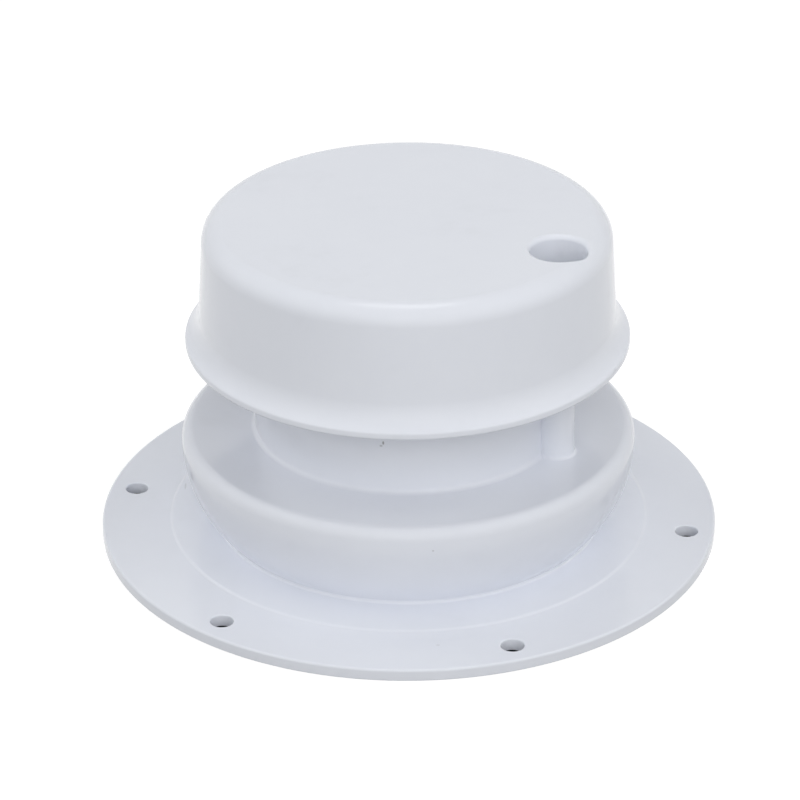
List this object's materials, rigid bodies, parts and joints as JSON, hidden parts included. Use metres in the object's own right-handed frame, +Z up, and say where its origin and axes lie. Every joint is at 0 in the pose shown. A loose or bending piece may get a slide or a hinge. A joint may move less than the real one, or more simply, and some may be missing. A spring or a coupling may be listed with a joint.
{
  "type": "pipe vent with screwed cap",
  "caption": "Round pipe vent for a deck or roof: a flanged base with a waisted drum and an upright neck, under a wide screwed cap with a flared lip.",
  "frame": {"origin": "centre of the flange's flat underside", "axes": "+Z up out of the deck along the neck, -Y the side that the picture is taken from, +X its right"},
  "size_m": [0.152, 0.152, 0.0825],
  "materials": {
    "base_plastic": "white moulded plastic, satin gloss",
    "cap_plastic": "white moulded plastic, satin gloss",
    "washer_steel": "plain stainless washer",
    "screw_steel": "stainless pan-head screw"
  },
  "bodies": {
    "base": {"vent_base": "base_plastic"},
    "cap": {"vent_cap": "cap_plastic"},
    "washer": {"cap_washer": "washer_steel"},
    "screw": {"cap_screw": "screw_steel"}
  },
  "joints": [
    {"name": "cap_lift", "type": "slide", "parent": "base", "child": "cap", "axis": [0, 0, 1], "range_m": [0, 0.06]},
    {"name": "cap_screw_rise", "type": "slide", "parent": "cap", "child": "washer", "axis": [0, 0, 1], "range_m": [0, 0.01269]},
    {"name": "cap_screw_turn", "type": "hinge", "parent": "washer", "child": "screw", "pos_m": [0.03559, -0.0169, 0.07], "axis": [0, 0, 1], "range_deg": [0, 3240]}
  ],
  "couplings": [
    {"joint": "cap_screw_turn", "follows": "cap_screw_rise", "rad_per_m": 4456.2}
  ]
}
